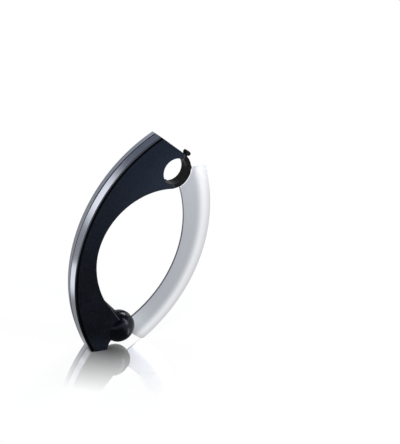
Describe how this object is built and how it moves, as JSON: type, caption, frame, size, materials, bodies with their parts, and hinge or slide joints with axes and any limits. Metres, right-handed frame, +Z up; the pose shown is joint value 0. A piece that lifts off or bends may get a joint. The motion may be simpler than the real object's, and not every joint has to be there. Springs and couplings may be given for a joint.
{
  "type": "rocking pizza knife",
  "caption": "Rocking pizza knife with a crescent blade on a ball hinge, an arched black handle with a brushed steel spine and a ring latch at the top.",
  "frame": {"origin": "on the floor under the middle of the standing knife's box, with the foot and the blade's lower corner at the floor", "axes": "+Z up along the length of the standing knife, +X from the handle's spine towards the cutting edge, +Y from the front face to the rear face"},
  "size_m": [0.1802, 0.0325, 0.2737],
  "materials": {
    "shell_plastic": "matte",
    "brushed_steel": "brushed",
    "blade_steel": "satin",
    "plain_steel": "satin",
    "spring_steel": "satin",
    "ring_plastic": "matte",
    "ball_plastic": "satin",
    "nylon": "matte",
    "brass": "satin"
  },
  "bodies": {
    "handle": {"front_shell": "shell_plastic", "rear_shell": "shell_plastic", "front_spine_strip": "brushed_steel", "rear_spine_strip": "brushed_steel", "strip_studs": "plain_steel", "top_spacer": "shell_plastic", "foot_spacer": "shell_plastic", "hinge_plate": "plain_steel", "shell_screws": "plain_steel", "shell_inserts": "brass", "ring_drag_washer": "spring_steel", "friction_washers": "nylon"},
    "swinging_blade": {"blade": "blade_steel", "front_ball_half": "ball_plastic", "rear_ball_half": "ball_plastic", "pivot_bush": "plain_steel", "pivot_screw": "plain_steel", "pivot_insert": "brass", "key_dowels": "plain_steel"},
    "ring": {"latch_ring": "ring_plastic", "thumb_tab": "ring_plastic", "catch_pin": "plain_steel"}
  },
  "joints": [
    {"name": "blade_swing", "type": "hinge", "parent": "handle", "child": "swinging_blade", "pos_m": [-0.0204, 0, 0.0249], "axis": [0, 1, 0], "range_deg": [0, 100]},
    {"name": "latch_turn", "type": "hinge", "parent": "handle", "child": "ring", "pos_m": [0.02684, 0, 0.22952], "axis": [0, 1, 0], "range_deg": [0, 30]}
  ]
}
